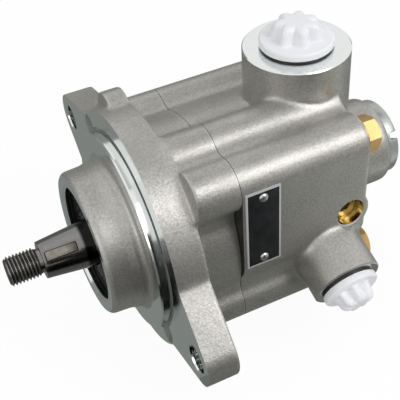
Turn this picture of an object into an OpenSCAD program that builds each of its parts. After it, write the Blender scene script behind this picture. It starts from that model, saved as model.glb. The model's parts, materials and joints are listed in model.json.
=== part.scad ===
// Engine-driven vane pump for power steering, in millimetres.
// X runs along the shaft with the drive end at -X, Z is up, and x = 0 is the mounting face of the flange.

/* [Flange] */
// Diameter of the round mounting flange
flange_d = 100; // [98:0.5:108]
// Thickness of the mounting flange
flange_t = 13; // [11:0.5:14]
// Distance between the two mounting holes
bolt_spacing = 126; // [122:0.5:140]
// Diameter of each mounting hole
mount_hole_d = 11; // [9:0.5:12.5]
// Radius of the rounded end of each ear
ear_r = 10.5; // [9.5:0.5:13]
// Angle of the line of mounting holes above the side axis
ear_angle = 16; // [8:1:20]
// Diameter of the locating spigot
spigot_d = 82.55; // [78:0.05:86]
// Height of the locating spigot
spigot_h = 4; // [3:0.5:6]
// Outer diameter of the bearing nose at its front
nose_d = 59.6; // [57:0.2:64]
// Length of the bearing nose in front of the spigot
nose_l = 15; // [14:0.5:18]

/* [Casing] */
// Diameter of the round core of the casing section
core_d = 81; // [80:0.5:84]
// Distance from the mounting face to the joint of the two housings
front_l = 30; // [28:0.5:34]
// Length of the rear housing
rear_l = 54.4; // [52:0.2:62]
// Distance of the flat side face outside the round core
side_proud = 2.4; // [1.6:0.1:4]
// Radius of the hollow blends between the lobes of the section
blend_r = 8; // [6:0.5:10]

/* [Shaft] */
// Nominal diameter of the threaded end
thread_d = 12; // [10:0.5:13]
// Length of the threaded end
thread_l = 10.5; // [8:0.5:16]
// Length of the undercut neck behind the thread
neck_l = 3.5; // [2:0.5:5]
// Diameter of the taper at its small end
taper_small_d = 15.2; // [14.4:0.1:16.4]
// Length of the taper
taper_l = 21; // [19:0.5:24]
// Increase of the taper's diameter for each millimetre of length
taper_rate = 0.2; // [0.15:0.01:0.2]
// Diameter of the shaft in its front bearing
journal_d = 20; // [19.8:0.05:20.4]
// Diameter of the shaft in its rear bush
tail_d = 16; // [14:0.5:16.4]
// Width of the half-round key
key_w = 4; // [3:0.5:5]
// Diameter of the disc that the half-round key is cut from
key_disc_d = 13; // [11:0.5:15]
// Turn of the key about the shaft
key_angle = 133; // [120:1:150]

/* [Front bearing] */
// Outer diameter of the bearing
bearing_od = 47; // [46:0.5:48]
// Width of the bearing
bearing_w = 14; // [13:0.5:15]
// Depth of the bearing behind the front of the nose
bearing_recess = 6.8; // [6:0.1:8]
// Diameter of each ball
ball_d = 7.9; // [7:0.1:8.2]
// Number of balls
ball_count = 8; // [6:1:9]

/* [Pumping cartridge] */
// Outer diameter of the cam ring and of the two plates
cartridge_d = 61.6; // [59:0.1:62]
// Width of the cam ring
cam_w = 20; // [17:0.5:21]
// Smallest radius of the cam bore
cam_minor_r = 20.2; // [19.8:0.1:21]
// Rise of the cam bore from its smallest to its largest radius
cam_rise = 2.2; // [1.2:0.1:2.6]
// Thickness of the front plate
front_plate_t = 8; // [6:0.5:9]
// Thickness of the pressure plate
pressure_plate_t = 8; // [7:0.5:9]
// Thickness of each vane
vane_t = 1.8; // [1.4:0.1:2.2]
// Height of each vane
vane_h = 5.5; // [5:0.1:5.8]
// Diameter of the two dowel pins
dowel_d = 5; // [4:0.5:6]

/* [Ports] */
// Distance of the inlet axis behind the joint of the housings
inlet_x = 47.6; // [45:0.1:50]
// Diameter of the inlet boss
inlet_d = 42.4; // [39:0.2:44]
// Height of the inlet face above the shaft axis
inlet_z = 60.7; // [58:0.1:66]
// Bore diameter of the inlet
inlet_bore = 24; // [20:0.5:25]
// Distance of the outlet axis behind the joint of the housings
outlet_x = 38.8; // [37:0.1:40]
// Diameter of the outlet boss
outlet_d = 28.5; // [26:0.5:30]
// Bore diameter of the outlet
outlet_bore = 16.5; // [14:0.5:17]
// Downward tilt of the outlet axis
outlet_tilt = 20; // [14:1:24]
// Distance of the outlet face in front of the flat side face
outlet_reach = 13.1; // [11:0.1:18]

/* [Flow control valve] */
// Diameter of the valve boss
valve_boss_d = 38; // [34:0.5:40]
// Length of the valve boss behind the rear face
valve_boss_l = 31.2; // [31:0.2:36]
// Diameter of the spool
spool_d = 16; // [14:0.5:17]
// Travel of the spool against its spring
spool_travel = 6; // [3:0.5:6.5]
// Diameter of the end plug's head
plug_head_d = 33; // [26:0.5:33]
// Thickness of the end plug's head
plug_head_t = 4.6; // [3:0.1:6]

/* [Fasteners] */
// Diameter of the casing bolts
bolt_d = 8; // [7:0.5:8]
// Width across the flats of the bolt heads
head_af = 13; // [12:0.5:14]
// Height of the bolt heads
head_h = 6; // [4.5:0.5:7.5]
// Thickness of the washers
washer_t = 1.6; // [1:0.1:2.4]

/* [Nameplate] */
// Length of the plate along the shaft
plate_w = 14.4; // [12:0.2:16]
// Height of the plate
plate_h = 36.4; // [32:0.2:36.4]
// Thickness of the plate
plate_t = 0.8; // [0.6:0.1:1.5]

/* [Transit plugs] */
// Diameter of the inlet plug's flange
inlet_cap_d = 29.2; // [27:0.2:33]
// Diameter of the outlet plug's flange
outlet_cap_d = 23; // [20:0.5:25]
// Thickness of each plug's flange
cap_t = 3; // [2:0.5:4]
// Height of the star grip on each plug
grip_h = 6.8; // [5:0.2:9]
// Thickness of the rubber ring under each plug
plug_ring_t = 0.9; // [0.6:0.1:1.5]

/* [Hidden] */
$fn = 72;

cast_grey = [0.62, 0.61, 0.58];
dark_steel = [0.22, 0.22, 0.22];
bright_steel = [0.66, 0.67, 0.68];
black = [0.04, 0.04, 0.04];
yellow = [0.83, 0.62, 0.24];
bronze = [0.66, 0.46, 0.24];
white = [0.92, 0.93, 0.96];

// Clearances: seat for pieces fixed together, run for turning fits, free between bodies that move apart.
seat = 0.01;
run = 0.03;
free = 0.3;
eps = 0.05;

// Stations along the shaft
nose_x0 = -spigot_h - nose_l;
bearing_x0 = nose_x0 + bearing_recess;
bearing_x1 = bearing_x0 + bearing_w;
bearing_mid = bearing_x0 + bearing_w / 2;
collar_x1 = bearing_x1 + 1.5;
seal_x1 = bearing_x1 + 8;
plate_x0 = front_l - front_plate_t;
cam_x1 = front_l + cam_w;
pressure_x1 = cam_x1 + pressure_plate_t;
cavity_x1 = pressure_x1 + 4;
tail_x1 = cavity_x1 + 10;
rear_x = front_l + rear_l;
taper_x1 = nose_x0 + 3;
taper_x0 = taper_x1 - taper_l;
thread_x1 = taper_x0 - neck_l;
shaft_x0 = thread_x1 - thread_l;
taper_large_d = taper_small_d + taper_rate * taper_l;

// Bearing radii
bearing_or = bearing_od / 2;
journal_r = journal_d / 2;
pitch_r = (bearing_or + journal_r) / 2;
inner_shoulder = pitch_r - 2.85;
outer_shoulder = pitch_r + 2.85;
clip_angle = -38;
clip_lug = 26;

// Seal grooves: depth in the rim of the pressure plate, and undercut at the foot of the spigot
ring_groove = 2.3;
spigot_undercut = 0.6;

// Dowels midway between the cam bore and the seal groove
dowel_at = (cam_minor_r + cartridge_d / 2 - ring_groove) / 2;

// Rotor and vanes
vane_count = 10;
vane_tip = cam_minor_r - free;
rotor_r = vane_tip - free;
vane_stroke = cam_rise - 0.2;
slot_bottom = vane_tip - vane_h - vane_stroke - free;
spline_r = 9.4;
spline_root = 8.3;

// Distance of the flat side face from the shaft axis
side_y = core_d / 2 + side_proud;

// Positions round the section, as [angle, radius]
cartridge_r = cartridge_d / 2;
bolt_at = [[44, cartridge_r + 11], [133.4, 47.5], [215, cartridge_r + 9], [282, cartridge_r + 8.7],
    [346, cartridge_r + 8.7]];
side_lobe_r = side_y + bolt_at[1][1] * cos(bolt_at[1][0]);
lobe_r = [9, side_lobe_r, 10, 9.5, 9.5];
valve_at = [112, 41];
valve_lobe_r = 10.5;
side_r = 10;

// Rear valve
valve_yz = [0, 1];
valve_x0 = tail_x1 + 4.5;
valve_x1 = rear_x + valve_boss_l;
spool_r = spool_d / 2;
plug_r = spool_r + 2;
spool_x0 = valve_x0 + 3.5;
spool_x1 = spool_x0 + 18;
plug_x0 = valve_x1 - 10.5;
spring_x0 = spool_x0 + 12;
spring_x1 = plug_x0 + 4;

// Ports
inlet_at = front_l + inlet_x;
outlet_at = front_l + outlet_x;
outlet_y = -side_y - outlet_reach;
outlet_z = -11.6 - outlet_reach * tan(outlet_tilt);
gallery_x = rear_x - 6.8;
gallery_z = 6.9;
gallery_r = 6;
plate_cx = front_l + 8.3;
plate_cz = 17.8;

function polar(p) = [p[1] * cos(p[0]), p[1] * sin(p[0])];
function unit(v) = v / norm(v);
// Centre of a circle of radius f that touches two circles from outside, on the side given by s
function touch(c1, r1, c2, r2, f, s) =
    let (d = norm(c2 - c1), u = unit(c2 - c1), a = ((r1 + f) * (r1 + f) - (r2 + f) * (r2 + f) + d * d) / (2 * d),
        h = sqrt((r1 + f) * (r1 + f) - a * a))
    c1 + a * u + s * h * [-u[1], u[0]];
function cam_radius(t) = cam_minor_r + cam_rise * (1 - cos(2 * t)) / 2;

// Extrudes a section drawn in Y and Z along X.
module along_x(x, l) {
    translate([x, 0, 0])
        rotate([90, 0, 90])
            linear_extrude(height = l)
                children();
}

// Turns a profile drawn as [radius, x] about the shaft axis.
module turned() {
    rotate([0, 90, 0])
        rotate_extrude()
            children();
}

// Round bar along X from x0 to x1.
module rod(x0, x1, r) {
    translate([x0, 0, 0])
        rotate([0, 90, 0])
            cylinder(h = x1 - x0, r = r);
}

// Tapered bar along X.
module cone(x0, x1, r0, r1) {
    translate([x0, 0, 0])
        rotate([0, 90, 0])
            cylinder(h = x1 - x0, r1 = r0, r2 = r1);
}

// Fills the valley between two round outlines with a hollow arc of radius f.
module valley(c1, r1, c2, r2, f) {
    for (s = [-1, 1]) {
        p = touch(c1, r1, c2, r2, f, s);
        difference() {
            polygon([c1, p, c2]);
            translate(p)
                circle(r = f + 0.1);
        }
    }
}

// Wedge between a big circle at the origin and a small circle at a distance, along their common tangents.
module tangent_wedge(r1, r2, d) {
    a = acos((r1 - r2) / d);
    polygon([[r1 * cos(a), r1 * sin(a)], [d + r2 * cos(a), r2 * sin(a)],
        [d + r2 * cos(a), -r2 * sin(a)], [r1 * cos(a), -r1 * sin(a)]]);
}

// Lobed section shared by both housings: round core, a lobe for each bolt and one over the valve gallery.
module lobed_section() {
    circle(r = core_d / 2);
    for (i = [0 : len(bolt_at) - 1]) {
        translate(polar(bolt_at[i]))
            circle(r = lobe_r[i]);
        valley([0, 0], core_d / 2, polar(bolt_at[i]), lobe_r[i], blend_r);
    }
    translate(polar(valve_at))
        circle(r = valve_lobe_r);
    valley([0, 0], core_d / 2, polar(valve_at), valve_lobe_r, blend_r);
    valley(polar(valve_at), valve_lobe_r, polar(bolt_at[1]), lobe_r[1], 6);
}

// Section of the rear housing, with the flat side face between two rounded edges.
module flat_section() {
    lower = [-side_y + side_r, 0];
    lobed_section();
    translate(lower)
        circle(r = side_r);
    translate([-side_y, 0])
        square([side_y, polar(bolt_at[1])[1]]);
    valley(lower, side_r, polar(bolt_at[2]), lobe_r[2], 5);
}

// Outline of the mounting flange with its two ears.
module flange_outline() {
    circle(r = flange_d / 2);
    for (t = [0, 180])
        rotate(ear_angle + t) {
            tangent_wedge(41, ear_r, bolt_spacing / 2);
            translate([bolt_spacing / 2, 0])
                circle(r = ear_r);
        }
}

// Bearing nose with a rounded front edge and a hollow fillet at its foot.
module nose_profile() {
    r = nose_d / 2;
    foot = 5;
    polygon([[0, nose_x0], [r - 2, nose_x0], [r - 2, nose_x0 + 2], [r, nose_x0 + 2], [r + 0.8, eps], [0, eps]]);
    translate([r - 2, nose_x0 + 2])
        circle(r = 2);
    difference() {
        translate([r, -spigot_h - foot])
            square([foot + 0.8, foot + eps]);
        translate([r + 0.8 + foot, -spigot_h - foot])
            circle(r = foot);
    }
}

// Puts its children at each casing bolt.
module at_bolts() {
    for (p = bolt_at)
        translate([0, polar(p)[0], polar(p)[1]])
            children();
}

// Puts its children at the two dowels of the cartridge.
module at_dowels() {
    for (t = [0, 180])
        rotate([t, 0, 0])
            translate([0, 0, dowel_at])
                children();
}

// Puts its children on the valve axis.
module at_valve() {
    translate([0, valve_yz[0], valve_yz[1]])
        children();
}

// Puts its children on the outlet face with +Z out of the port.
module at_outlet() {
    translate([outlet_at, outlet_y, outlet_z])
        rotate([90 + outlet_tilt, 0, 0])
            children();
}

module front_housing() {
    color(cast_grey)
    difference() {
        union() {
            along_x(0, flange_t)
                flange_outline();
            along_x(4.5, flange_t - 4.5)
                translate(polar([62, 46]))
                    circle(r = 9.5);
            along_x(flange_t - eps, front_l - flange_t + eps)
                lobed_section();
            rod(-spigot_h + 0.6, eps, spigot_d / 2);
            cone(-spigot_h, -spigot_h + 0.6, spigot_d / 2 - 0.6, spigot_d / 2);
            turned()
                nose_profile();
        }
        // Bearing bore with its lead-in and ring groove
        rod(nose_x0 - eps, bearing_x1, bearing_or);
        cone(nose_x0 - eps, nose_x0 + 0.8, bearing_or + 0.85, bearing_or);
        rod(bearing_x0 - 1.9, bearing_x0 - 0.1, bearing_or + 1.25);
        // Seal seat, shaft passage and cartridge recess
        rod(bearing_x1 - eps, seal_x1, outer_shoulder - 0.6);
        rod(seal_x1 - eps, plate_x0 + eps, journal_r + 0.6);
        rod(plate_x0, front_l + eps, cartridge_d / 2 + 0.2);
        at_dowels()
            rod(plate_x0 - 5, plate_x0 + eps, dowel_d / 2 + seat);
        // Relief round the spigot and its two pockets
        difference() {
            rod(-eps, 1.6, spigot_d / 2 + 2.1);
            rod(-1, 3, spigot_d / 2 - spigot_undercut);
        }
        difference() {
            for (t = [44, 224])
                rotate([t, 0, 0])
                    translate([0, 44, 0])
                        rod(-eps, 5, 5.4);
            rod(-1, 6, spigot_d / 2 - spigot_undercut);
        }
        // Mounting holes and bolt threads
        for (t = [0, 180])
            rotate([ear_angle + t, 0, 0])
                translate([0, bolt_spacing / 2, 0])
                    rod(-1, flange_t + 1, mount_hole_d / 2);
        at_bolts()
            rod(flange_t + 1.5, front_l + eps, bolt_d / 2 + seat);
    }
}

module rear_housing() {
    color(cast_grey)
    difference() {
        union() {
            along_x(front_l, rear_l)
                flat_section();
            translate([inlet_at, 0, 14])
                cylinder(h = inlet_z - 14.8, r = inlet_d / 2);
            translate([inlet_at, 0, inlet_z - 0.8])
                cylinder(h = 0.8, r1 = inlet_d / 2, r2 = inlet_d / 2 - 0.8);
            at_outlet() {
                translate([0, 0, -26])
                    cylinder(h = 25, r = outlet_d / 2);
                translate([0, 0, -1])
                    cylinder(h = 1, r1 = outlet_d / 2, r2 = outlet_d / 2 - 1);
            }
            at_valve() {
                rod(cavity_x1 + 2, valve_x1 - 3, valve_boss_d / 2);
                rod(cavity_x1 + 2, valve_x1, valve_boss_d / 2 - 3);
                turned()
                    translate([valve_boss_d / 2 - 3, valve_x1 - 3])
                        circle(r = 3);
            }
            translate([gallery_x, -20, gallery_z])
                rotate([90, 0, 0])
                    cylinder(h = side_y - 20, r = gallery_r + 2.5);
        }
        // Cartridge cavity, joint ring rebate and rear bush seat
        rod(front_l - eps, cavity_x1, cartridge_d / 2 + 0.2);
        rod(front_l - eps, front_l + 2, cartridge_d / 2 + 2.4);
        rod(cavity_x1 - eps, tail_x1 + 1.5, tail_d / 2 + 2 + seat);
        at_bolts()
            rod(front_l - eps, rear_x + 20, bolt_d / 2 + 0.3);
        // Valve bore and the seat of its end plug
        at_valve() {
            rod(valve_x0, valve_x1 + 1, spool_r + run);
            rod(plug_x0 - 1, valve_x1 + 1, plug_r + seat);
        }
        // Ports and side hole
        translate([inlet_at, 0, inlet_z - 18])
            cylinder(h = 19, r = inlet_bore / 2);
        at_outlet()
            translate([0, 0, -12])
                cylinder(h = 13, r = outlet_bore / 2);
        translate([gallery_x, -side_y + 16, gallery_z])
            rotate([90, 0, 0])
                cylinder(h = 17, r = gallery_r);
        translate([gallery_x, -side_y + 0.8, gallery_z])
            rotate([90, 0, 0])
                cylinder(h = 0.9, r1 = gallery_r, r2 = gallery_r + 0.9);
    }
}

module drive_shaft() {
    color(dark_steel)
    difference() {
        union() {
            cone(shaft_x0, shaft_x0 + 1, thread_d / 2 - 1, thread_d / 2);
            rod(shaft_x0 + 1, thread_x1, thread_d / 2);
            rod(thread_x1 - eps, taper_x0 + eps, thread_d / 2 - 1);
            cone(taper_x0, taper_x1, taper_small_d / 2, taper_large_d / 2);
            rod(taper_x1 - eps, front_l - 1, journal_r);
            rod(bearing_x1, collar_x1, inner_shoulder - 1.2);
            rod(front_l - 1 - eps, cam_x1, spline_root);
            for (i = [0 : 11])
                rotate([i * 30, 0, 0])
                    translate([front_l - 1, -1.1, 0])
                        cube([cam_w + 1, 2.2, spline_r]);
            rod(cam_x1 - eps, tail_x1 - 1, tail_d / 2);
            cone(tail_x1 - 1, tail_x1, tail_d / 2, tail_d / 2 - 1);
        }
        key_disc(seat);
    }
}

// Disc segment of the key, widened by a clearance for its seat.
module key_disc(gap) {
    mid = taper_x0 + taper_l * 0.35;
    r = taper_small_d / 2 + taper_rate * (mid - taper_x0) / 2;
    rotate([key_angle - 90, 0, 0])
        translate([mid, key_w / 2 + gap, r + 1.6])
            rotate([90, 0, 0])
                cylinder(h = key_w + 2 * gap, r = key_disc_d / 2 + gap);
}

module shaft_key() {
    mid = taper_x0 + taper_l * 0.35;
    r = taper_small_d / 2 + taper_rate * (mid - taper_x0) / 2;
    color(bright_steel)
    intersection() {
        key_disc(0);
        rotate([key_angle - 90, 0, 0])
            translate([mid - 20, -10, r - 10])
                cube([40, 20, 11.4]);
    }
}

module bearing_outer_race() {
    color(bright_steel)
    turned()
        difference() {
            translate([outer_shoulder, bearing_x0])
                square([bearing_or - seat - outer_shoulder, bearing_w]);
            translate([pitch_r, bearing_mid])
                circle(r = ball_d / 2 + 0.05);
        }
}

module bearing_inner_race() {
    color(bright_steel)
    turned()
        difference() {
            translate([journal_r + seat, bearing_x0])
                square([inner_shoulder - journal_r - seat, bearing_w]);
            translate([pitch_r, bearing_mid])
                circle(r = ball_d / 2 + 0.05);
        }
}

module bearing_balls() {
    color(bright_steel)
    for (i = [0 : ball_count - 1])
        rotate([i * 360 / ball_count, 0, 0])
            translate([bearing_mid, pitch_r, 0])
                sphere(r = ball_d / 2);
}

module bearing_cage() {
    color(bronze)
    difference() {
        rod(bearing_mid - 5.2, bearing_mid + 5.2, pitch_r + 1.5);
        rod(bearing_mid - 6, bearing_mid + 6, pitch_r - 1.5);
        for (i = [0 : ball_count - 1])
            rotate([i * 360 / ball_count, 0, 0])
                translate([bearing_mid, 0, 0])
                    rotate([-90, 0, 0])
                        cylinder(h = bearing_or, r = ball_d / 2 + 0.15);
    }
}

// Rubber ring between the races, with two raised ribs.
module shield_profile(side) {
    translate([inner_shoulder + 0.35, -0.45])
        square([outer_shoulder - inner_shoulder - 0.45, 0.9]);
    for (r = [pitch_r - 1.5, pitch_r + 1.2])
        translate([r, side < 0 ? -0.9 : 0])
            square([0.7, 0.9]);
}

module bearing_front_shield() {
    color(black)
    turned()
        translate([0, bearing_x0 + 1])
            shield_profile(-1);
}

module bearing_rear_shield() {
    color(black)
    turned()
        translate([0, bearing_x1 - 1])
            shield_profile(1);
}

// Retaining ring with a gap between two drilled lugs.
module bearing_circlip() {
    color(dark_steel)
    along_x(bearing_x0 - 1.85, 1.75)
        rotate(clip_angle)
            difference() {
                union() {
                    difference() {
                        circle(r = bearing_or + 1.2);
                        circle(r = bearing_or - 2.2);
                        polygon([[0, 0], polar([-clip_lug + 4, 2 * bearing_or]), polar([clip_lug - 4, 2 * bearing_or])]);
                    }
                    for (t = [-clip_lug, clip_lug])
                        rotate(t)
                            translate([bearing_or - 2.6, 0])
                                circle(r = 2.4);
                }
                for (t = [-clip_lug, clip_lug])
                    rotate(t)
                        translate([bearing_or - 3, 0])
                            circle(r = 1);
            }
}

module shaft_seal() {
    r1 = outer_shoulder - 0.6 - seat;
    color(black)
    turned() {
        translate([r1 - 1.6, seal_x1 - 5.6])
            square([1.6, 5.6]);
        translate([journal_r + 2.2, seal_x1 - 5.6])
            square([r1 - journal_r - 2.2, 1.6]);
        polygon([[journal_r + 2.2, seal_x1 - 5.6], [journal_r + 4, seal_x1 - 5.6], [journal_r + 4, seal_x1 - 4],
            [journal_r + 2, seal_x1 - 0.6], [journal_r + run, seal_x1 - 1.6], [journal_r + 1.2, seal_x1 - 3]]);
    }
}

// Side plate of the cartridge with its shaft bore, dowel holes and four ports.
module side_plate(x0, t, bore) {
    difference() {
        rod(x0, x0 + t, cartridge_d / 2);
        rod(x0 - 1, x0 + t + 1, bore);
        at_dowels()
            rod(x0 - 1, x0 + t + 1, dowel_d / 2 + seat);
        for (t1 = [20, 70, 200, 250])
            rotate([t1, 0, 0])
                translate([0, cam_minor_r, 0])
                    rod(x0 - 1, x0 + t + 1, 2.4);
    }
}

module front_plate() {
    color(bright_steel)
        side_plate(plate_x0, front_plate_t, journal_r + 0.6);
}

module cam_ring() {
    color(bright_steel)
    difference() {
        rod(front_l, cam_x1, cartridge_d / 2);
        along_x(front_l - 1, cam_w + 2)
            polygon([for (i = [0 : 95]) polar([i * 3.75 + 90, cam_radius(i * 3.75)])]);
        at_dowels()
            rod(front_l - 1, cam_x1 + 1, dowel_d / 2 + seat);
    }
}

module rotor() {
    color(bright_steel)
    difference() {
        rod(front_l + free, cam_x1 - free, rotor_r);
        rod(front_l, cam_x1, spline_root + seat);
        for (i = [0 : 11])
            rotate([i * 30, 0, 0])
                translate([front_l - 1, -1.1 - seat, 0])
                    cube([cam_w + 2, 2.2 + 2 * seat, spline_r + seat]);
        for (i = [0 : vane_count - 1])
            rotate([(i + 0.5) * 360 / vane_count, 0, 0]) {
                translate([front_l - 1, slot_bottom, -vane_t / 2 - eps])
                    cube([cam_w + 2, rotor_r, vane_t + 2 * eps]);
                translate([0, slot_bottom + 0.4, 0])
                    rod(front_l - 1, cam_x1 + 1, vane_t / 2 + 0.4);
            }
    }
}

// One vane at its place round the rotor, its tip at the smallest radius of the cam.
module vane(i) {
    color(bright_steel)
    rotate([(i - 0.5) * 360 / vane_count, 0, 0])
        translate([front_l + free, vane_tip - vane_h, -vane_t / 2])
            cube([cam_w - 2 * free, vane_h, vane_t]);
}

module vane_1() {
    vane(1);
}

module vane_2() {
    vane(2);
}

module vane_3() {
    vane(3);
}

module vane_4() {
    vane(4);
}

module vane_5() {
    vane(5);
}

module vane_6() {
    vane(6);
}

module vane_7() {
    vane(7);
}

module vane_8() {
    vane(8);
}

module vane_9() {
    vane(9);
}

module vane_10() {
    vane(10);
}

module pressure_plate() {
    color(bright_steel)
    difference() {
        side_plate(cam_x1, pressure_plate_t, tail_d / 2 + 0.6);
        difference() {
            rod(cam_x1 + 2.4, cam_x1 + 5.6, cartridge_d / 2 + 1);
            rod(cam_x1, cam_x1 + 8, cartridge_d / 2 - ring_groove);
        }
    }
}

module plate_o_ring() {
    color(black)
    turned()
        translate([cartridge_d / 2 - 1.05, cam_x1 + 4])
            circle(r = 1.22);
}

module housing_o_ring() {
    color(black)
    turned()
        translate([cartridge_d / 2 + 1.3, front_l + 1])
            circle(r = 1);
}

module pressure_spring() {
    color(dark_steel)
    turned()
        polygon([[cartridge_r - 15.8, cavity_x1 - 1.4], [cartridge_r - 15.8, cavity_x1],
            [cartridge_r - 14.8, cavity_x1], [cartridge_r - 3.8, pressure_x1 + 1.4],
            [cartridge_r - 3.8, pressure_x1], [cartridge_r - 4.8, pressure_x1]]);
}

module dowel_pins() {
    color(bright_steel)
    at_dowels()
        rod(plate_x0 - 4.5, pressure_x1 - 1, dowel_d / 2);
}

module rear_bush() {
    color(bronze)
    difference() {
        rod(cavity_x1 + 0.3, tail_x1 + 0.5, tail_d / 2 + 2);
        rod(cavity_x1, tail_x1 + 1, tail_d / 2 + run);
    }
}

module casing_bolts() {
    color(yellow)
    at_bolts() {
        rod(flange_t + 2.5, rear_x + washer_t + eps, bolt_d / 2);
        translate([rear_x + washer_t, 0, 0])
            rotate([0, 90, 0])
                intersection() {
                    cylinder(h = head_h, r = head_af / sqrt(3), $fn = 6);
                    cylinder(h = head_h, r1 = head_af / 2 + head_h, r2 = head_af / 2 - 0.1);
                }
    }
}

module bolt_washers() {
    color(yellow)
    at_bolts()
        difference() {
            rod(rear_x, rear_x + washer_t, bolt_d);
            rod(rear_x - 1, rear_x + washer_t + 1, bolt_d / 2 + 0.2);
        }
}

module flow_spool() {
    color(bright_steel)
    at_valve()
        difference() {
            union() {
                rod(spool_x0, spool_x1, spool_r);
                rod(valve_x0 + free, spool_x0 + eps, 3);
            }
            for (x = [spool_x0 + 3, spool_x0 + 9])
                difference() {
                    rod(x, x + 2.5, spool_r + 1);
                    rod(x - 1, x + 4, spool_r - 1.5);
                }
            rod(spring_x0, spool_x1 + 1, spool_r - 2.4);
        }
}

// Coil of round wire along X, drawn as a swept ring of points.
module coil(x0, x1, r, wire, turns) {
    steps = 14;
    sides = 8;
    n = steps * turns;
    lead = (x1 - x0 - 2 * wire) / n;
    points = [for (i = [0 : n]) for (j = [0 : sides - 1])
        let (a = i * 360 / steps, b = j * 360 / sides, q = r + wire * cos(b))
            [x0 + wire + i * lead + wire * sin(b), q * cos(a), q * sin(a)]];
    walls = [for (i = [0 : n - 1]) for (j = [0 : sides - 1])
        [i * sides + j, i * sides + (j + 1) % sides, (i + 1) * sides + (j + 1) % sides, (i + 1) * sides + j]];
    polyhedron(points, concat(walls, [[for (j = [0 : sides - 1]) sides - 1 - j]],
        [[for (j = [0 : sides - 1]) n * sides + j]]));
}

module spool_spring() {
    color(dark_steel)
    at_valve()
        coil(spring_x0, spring_x1, spool_r - 3.6, 0.8, 6);
}

module valve_plug() {
    color(bright_steel)
    at_valve()
        difference() {
            union() {
                rod(plug_x0, valve_x1 + eps, plug_r);
                rod(valve_x1, valve_x1 + plug_head_t - 0.6, plug_head_d / 2);
                cone(valve_x1 + plug_head_t - 0.6, valve_x1 + plug_head_t, plug_head_d / 2, plug_head_d / 2 - 0.6);
            }
            rod(plug_x0 - 1, spring_x1, spool_r - 2.4);
            difference() {
                rod(valve_x1 - 3.2, valve_x1 - 0.6, plug_r + 1);
                rod(valve_x1 - 4, valve_x1, plug_r - 1.9);
            }
            rotate([-34, 0, 0])
                translate([valve_x1 + 1, -plug_head_d, -1.6])
                    cube([plug_head_t, 2 * plug_head_d, 3.2]);
        }
}

module valve_plug_seal() {
    color(black)
    at_valve()
        turned()
            translate([plug_r - 0.95, valve_x1 - 1.9])
                circle(r = 0.92);
}

module gallery_plug() {
    color(yellow)
    translate([gallery_x, -side_y + 12, gallery_z])
        rotate([90, 0, 0])
            difference() {
                union() {
                    cylinder(h = 6.2, r = gallery_r - seat);
                    translate([0, 0, 6.2])
                        cylinder(h = 0.8, r1 = gallery_r - seat, r2 = gallery_r - 0.8);
                }
                translate([0, 0, 3])
                    cylinder(h = 5, r = 2.9, $fn = 6);
            }
}

// Star grip of a transit plug: a tapered hub with seven round fingers that lean in towards its top.
module star_grip(r) {
    cylinder(h = grip_h - 0.5, r1 = 0.62 * r, r2 = 0.42 * r);
    for (i = [0 : 6])
        rotate(i * 360 / 7)
            translate([0.7 * r, 0, -1.2])
                rotate([0, -20, 0])
                    cylinder(h = grip_h + 1, r1 = 0.3 * r, r2 = 0.2 * r);
}

// Transit plug standing on a port face: stem in the bore, ring seat, flange and star grip.
module transit_plug(cap_d, bore_d, depth, grip_r) {
    translate([0, 0, -depth])
        cylinder(h = depth + plug_ring_t + eps, r = bore_d / 2 - 0.4);
    translate([0, 0, plug_ring_t])
        cylinder(h = cap_t - 0.7, r = cap_d / 2);
    translate([0, 0, plug_ring_t + cap_t - 0.7])
        cylinder(h = 0.7, r1 = cap_d / 2, r2 = cap_d / 2 - 0.7);
    translate([0, 0, plug_ring_t + cap_t - eps])
        star_grip(grip_r);
}

// Ring of rubber under a transit plug's flange.
module plug_ring(cap_d, bore_d) {
    difference() {
        cylinder(h = plug_ring_t, r = cap_d / 2 - 0.6);
        translate([0, 0, -1])
            cylinder(h = 4, r = bore_d / 2 - 0.4 + seat);
    }
}

module inlet_plug() {
    color(white)
    translate([inlet_at, 0, inlet_z])
        transit_plug(inlet_cap_d, inlet_bore, 9, 10);
}

module inlet_plug_seal() {
    color(black)
    translate([inlet_at, 0, inlet_z])
        plug_ring(inlet_cap_d, inlet_bore);
}

module outlet_plug() {
    color(white)
    at_outlet()
        transit_plug(outlet_cap_d, outlet_bore, 8, 8);
}

module outlet_plug_seal() {
    color(black)
    at_outlet()
        plug_ring(outlet_cap_d, outlet_bore);
}

module nameplate() {
    color(black)
    translate([plate_cx - plate_w / 2, -side_y - plate_t, plate_cz - plate_h / 2])
        cube([plate_w, plate_t, plate_h]);
}

// Domed rivet heads near the two ends of the plate.
module nameplate_rivets() {
    color(bright_steel)
    for (s = [-1, 1])
        translate([plate_cx, -side_y - plate_t, plate_cz + s * (plate_h / 2 - 3.4)])
            rotate([90, 0, 0])
                intersection() {
                    cylinder(h = 2, r = 1.9);
                    translate([0, 0, -1.1])
                        sphere(r = 2.25);
                }
}

front_housing();
rear_housing();
drive_shaft();
shaft_key();
bearing_outer_race();
bearing_inner_race();
bearing_balls();
bearing_cage();
bearing_front_shield();
bearing_rear_shield();
bearing_circlip();
shaft_seal();
front_plate();
cam_ring();
rotor();
vane_1();
vane_2();
vane_3();
vane_4();
vane_5();
vane_6();
vane_7();
vane_8();
vane_9();
vane_10();
pressure_plate();
pressure_spring();
dowel_pins();
rear_bush();
housing_o_ring();
plate_o_ring();
casing_bolts();
bolt_washers();
flow_spool();
spool_spring();
valve_plug();
valve_plug_seal();
gallery_plug();
inlet_plug();
inlet_plug_seal();
outlet_plug();
outlet_plug_seal();
nameplate();
nameplate_rivets();
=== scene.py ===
"""Looks of the power steering pump: soft-edged castings, turned steel, plated screws and white plugs."""
import json
import math

import bmesh
import bpy
import numpy as np
from mathutils import Matrix, Vector


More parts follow.
